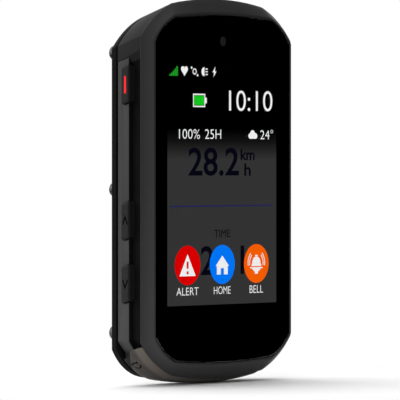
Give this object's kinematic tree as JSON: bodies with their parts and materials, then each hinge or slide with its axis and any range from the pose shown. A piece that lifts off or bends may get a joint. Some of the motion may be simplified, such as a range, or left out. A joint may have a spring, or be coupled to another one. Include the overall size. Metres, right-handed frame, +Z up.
{
  "type": "cycling computer",
  "caption": "Slim handlebar cycling computer with a tall touch display, press buttons on the sides and bottom corners, a port flap and a quarter-turn mount boss on the back.",
  "frame": {"origin": "centre of the quarter-turn mount boss's end face, on the back", "axes": "+Z up along the display's long side, +Y out of the back towards the handlebar mount, +X to the right as the display is read"},
  "size_m": [0.0542, 0.0166, 0.0883],
  "materials": {
    "cover_glass": "polished, black mask around the display",
    "bezel": "fine satin, dark grey",
    "housing": "fine satin, near black",
    "trim": "satin, dark grey",
    "strip": "dull black",
    "cover": "fine spark texture, black",
    "button": "satin, near black",
    "smoke": "satin, smoky grey-brown",
    "red_mark": "satin red",
    "dark_mark": "matt black",
    "seal": "soft black silicone",
    "mount": "hard black, fine grain",
    "screw": "black oxide steel",
    "shield": "bright formed steel",
    "display": "transflective display face",
    "film": "clear film and light guide",
    "board": "solder mask, dark green",
    "flex": "amber polyimide",
    "switch": "moulded black nylon",
    "battery": "foil pouch",
    "ceramic": "fired ceramic with silvered face",
    "flap": "soft black rubber",
    "membrane": "white porous membrane"
  },
  "bodies": {
    "housing": {"backlight": "film", "battery": "battery", "battery_connector": "switch", "board_screws": "screw", "bottom_switch_board": "board", "bottom_switches": "switch", "cover_glass": "cover_glass", "display_flex": "flex", "display_frame": "shield", "display_panel": "display", "front_bezel": "bezel", "glass_adhesive": "film", "gnss_antenna": "ceramic", "housing_gasket": "seal", "left_side_strip": "strip", "left_side_trim": "trim", "left_switch_board": "board", "left_switches": "switch", "light_pipe": "film", "main_board": "board", "mid_housing": "housing", "mount_screws": "screw", "quarter_turn_mount": "mount", "rear_cover": "cover", "rear_screws": "screw", "right_side_strip": "strip", "right_side_trim": "trim", "right_switch_board": "board", "right_switches": "switch", "shield_cans": "shield", "speaker": "switch", "speaker_mesh": "shield", "tether_bar": "screw", "touch_panel": "film", "usb_port": "shield", "usb_tongue": "switch", "vent_membrane": "membrane"},
    "power": {"power_button": "button", "power_mark": "red_mark", "power_seal": "seal"},
    "up": {"up_button": "button", "up_mark": "dark_mark", "up_seal": "seal"},
    "down": {"down_button": "button", "down_mark": "dark_mark", "down_seal": "seal"},
    "enter": {"enter_button": "button", "enter_mark": "dark_mark", "enter_seal": "seal"},
    "back": {"back_button": "button", "back_mark": "dark_mark", "back_seal": "seal"},
    "lap": {"lap_button": "smoke", "lap_mark": "dark_mark", "lap_seal": "seal"},
    "start_stop": {"start_stop_button": "smoke", "start_stop_mark": "dark_mark", "start_stop_seal": "seal"},
    "port_flap": {"port_cap": "flap"}
  },
  "joints": [
    {"name": "power_press", "type": "slide", "parent": "housing", "child": "power", "axis": [1, 0, 0], "range_m": [0, 0.0005], "stiffness_N_per_m": 400},
    {"name": "up_press", "type": "slide", "parent": "housing", "child": "up", "axis": [1, 0, 0], "range_m": [0, 0.0005], "stiffness_N_per_m": 400},
    {"name": "down_press", "type": "slide", "parent": "housing", "child": "down", "axis": [1, 0, 0], "range_m": [0, 0.0005], "stiffness_N_per_m": 400},
    {"name": "enter_press", "type": "slide", "parent": "housing", "child": "enter", "axis": [-1, 0, 0], "range_m": [0, 0.0005], "stiffness_N_per_m": 400},
    {"name": "back_press", "type": "slide", "parent": "housing", "child": "back", "axis": [-1, 0, 0], "range_m": [0, 0.0005], "stiffness_N_per_m": 400},
    {"name": "lap_press", "type": "slide", "parent": "housing", "child": "lap", "axis": [0, 0, 1], "range_m": [0, 0.0005], "stiffness_N_per_m": 400},
    {"name": "start_stop_press", "type": "slide", "parent": "housing", "child": "start_stop", "axis": [0, 0, 1], "range_m": [0, 0.0005], "stiffness_N_per_m": 400},
    {"name": "port_cap_hinge", "type": "hinge", "parent": "housing", "child": "port_flap", "pos_m": [0, -0.00398, -0.0308], "axis": [1, 0, 0], "range_deg": [0, 100]}
  ]
}
